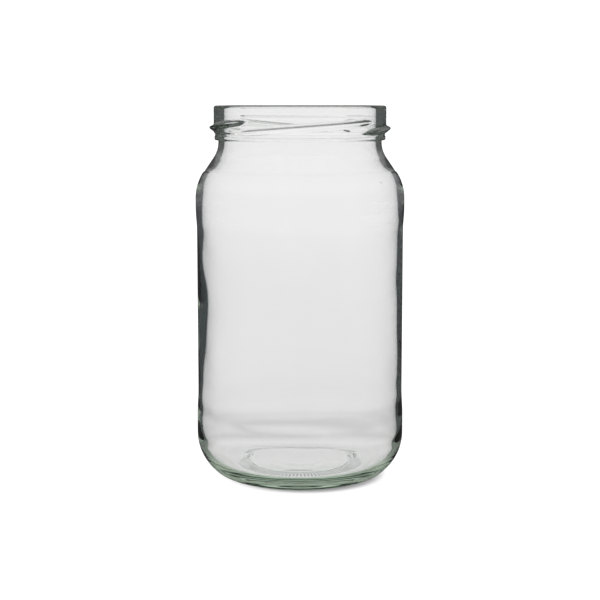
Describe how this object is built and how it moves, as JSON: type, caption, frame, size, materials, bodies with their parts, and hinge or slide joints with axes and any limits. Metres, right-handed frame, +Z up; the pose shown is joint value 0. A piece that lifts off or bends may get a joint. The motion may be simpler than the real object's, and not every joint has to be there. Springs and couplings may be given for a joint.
{
  "type": "canning jar",
  "caption": "Empty clear glass jar, one piece: round body with a recessed label panel, sloped shoulder, short neck and twist-off lug finish.",
  "frame": {"origin": "on the jar's axis, in the plane that the jar stands on", "axes": "+Z up along the jar's axis, towards the mouth"},
  "size_m": [0.0728, 0.0728, 0.13],
  "materials": {
    "clear_glass": "clear, smooth, fire-polished"
  },
  "bodies": {
    "root": {"jar": "clear_glass"}
  },
  "joints": []
}
